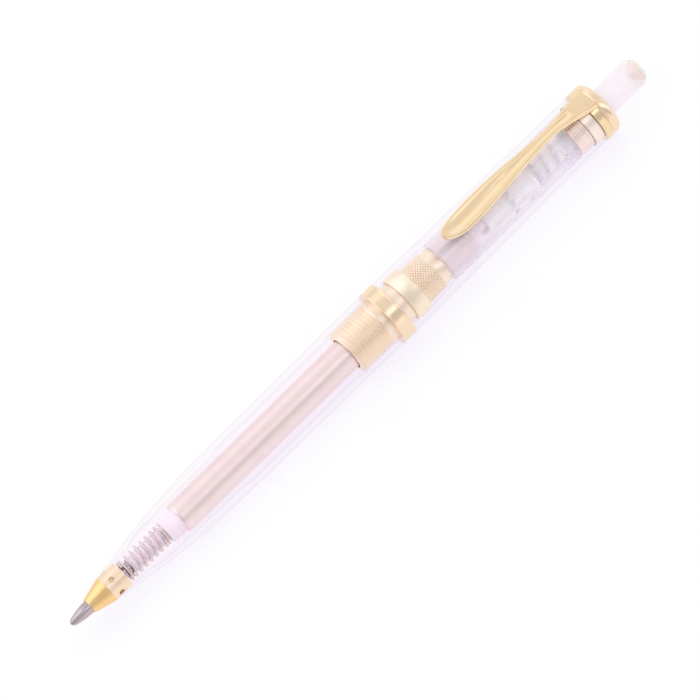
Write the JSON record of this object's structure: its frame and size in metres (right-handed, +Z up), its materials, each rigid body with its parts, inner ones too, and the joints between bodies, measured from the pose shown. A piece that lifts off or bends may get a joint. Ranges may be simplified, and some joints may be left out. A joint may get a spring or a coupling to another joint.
{
  "type": "ballpoint pen",
  "caption": "Clear click-action ballpoint pen with gold-coloured trim, a spring clip, a screw joint at the centre band and a metal refill.",
  "frame": {"origin": "middle of the pen's bounding box, on the surface that the pen lies on", "axes": "+X along the pen from the point to the push button, +Z up through the clip, +Y across"},
  "size_m": [0.137, 0.0112, 0.013],
  "materials": {
    "clear_plastic": "clear moulded resin, faintly lavender, polished",
    "milky_plastic": "milky translucent moulding, satin",
    "pale_plastic": "pale moulded plastic, satin",
    "gold_plate": "polished gold-coloured plating with fine hairlines",
    "brass": "turned brass, fine turning marks",
    "point_metal": "turned nickel silver",
    "refill_metal": "drawn metal tube, warm satin",
    "spring_steel": "bright spring wire"
  },
  "bodies": {
    "rear_section": {"rear_barrel": "clear_plastic", "thread_sleeve": "brass", "centre_band": "gold_plate", "knurled_sleeve": "brass", "mechanism_housing": "milky_plastic", "top_bushing": "gold_plate", "clip_collar": "gold_plate", "crown_ring": "gold_plate", "button_spring": "spring_steel"},
    "clip": {"clip_arm": "gold_plate"},
    "plunger": {"thrust_tube": "milky_plastic", "push_button": "clear_plastic", "button_end_cap": "gold_plate"},
    "rotor": {"index_rotor": "milky_plastic"},
    "refill": {"refill_tip": "point_metal", "refill_shoulder": "pale_plastic", "refill_tube": "refill_metal", "refill_end_plug": "pale_plastic"},
    "ball": {"writing_ball": "point_metal"},
    "screw_lead": {"return_spring": "spring_steel"},
    "front_section": {"front_barrel": "clear_plastic", "nose_cone": "gold_plate"}
  },
  "joints": [
    {"name": "click", "type": "slide", "parent": "rear_section", "child": "plunger", "axis": [1, 0, 0], "range_m": [-0.0012, 0.005], "deforming": ["return_spring", "button_spring"]},
    {"name": "refill_slide", "type": "slide", "parent": "rear_section", "child": "refill", "axis": [1, 0, 0], "range_m": [-0.0012, 0.005]},
    {"name": "index_turn", "type": "hinge", "parent": "plunger", "child": "rotor", "pos_m": [0.0325, 0, 0.00562], "axis": [1, 0, 0], "continuous": true},
    {"name": "barrel_unscrew", "type": "hinge", "parent": "screw_lead", "child": "front_section", "pos_m": [0.0015, 0, 0.00562], "axis": [1, 0, 0], "range_deg": [-3600, 0]},
    {"name": "barrel_advance", "type": "slide", "parent": "rear_section", "child": "screw_lead", "axis": [1, 0, 0], "range_m": [-0.008, 0]},
    {"name": "clip_flex", "type": "hinge", "parent": "rear_section", "child": "clip", "pos_m": [0.056, 0, 0.01114], "axis": [0, 1, 0], "range_deg": [0, 5], "stiffness_Nm_per_rad": 3.2},
    {"name": "ball_spin", "type": "hinge", "parent": "refill", "child": "ball", "pos_m": [-0.068, 0, 0.00562], "axis": [0, 1, 0], "continuous": true}
  ],
  "couplings": [
    {"joint": "refill_slide", "follows": "click", "ratio": 1},
    {"joint": "barrel_advance", "follows": "barrel_unscrew", "m_per_rad": 0.00012732}
  ]
}
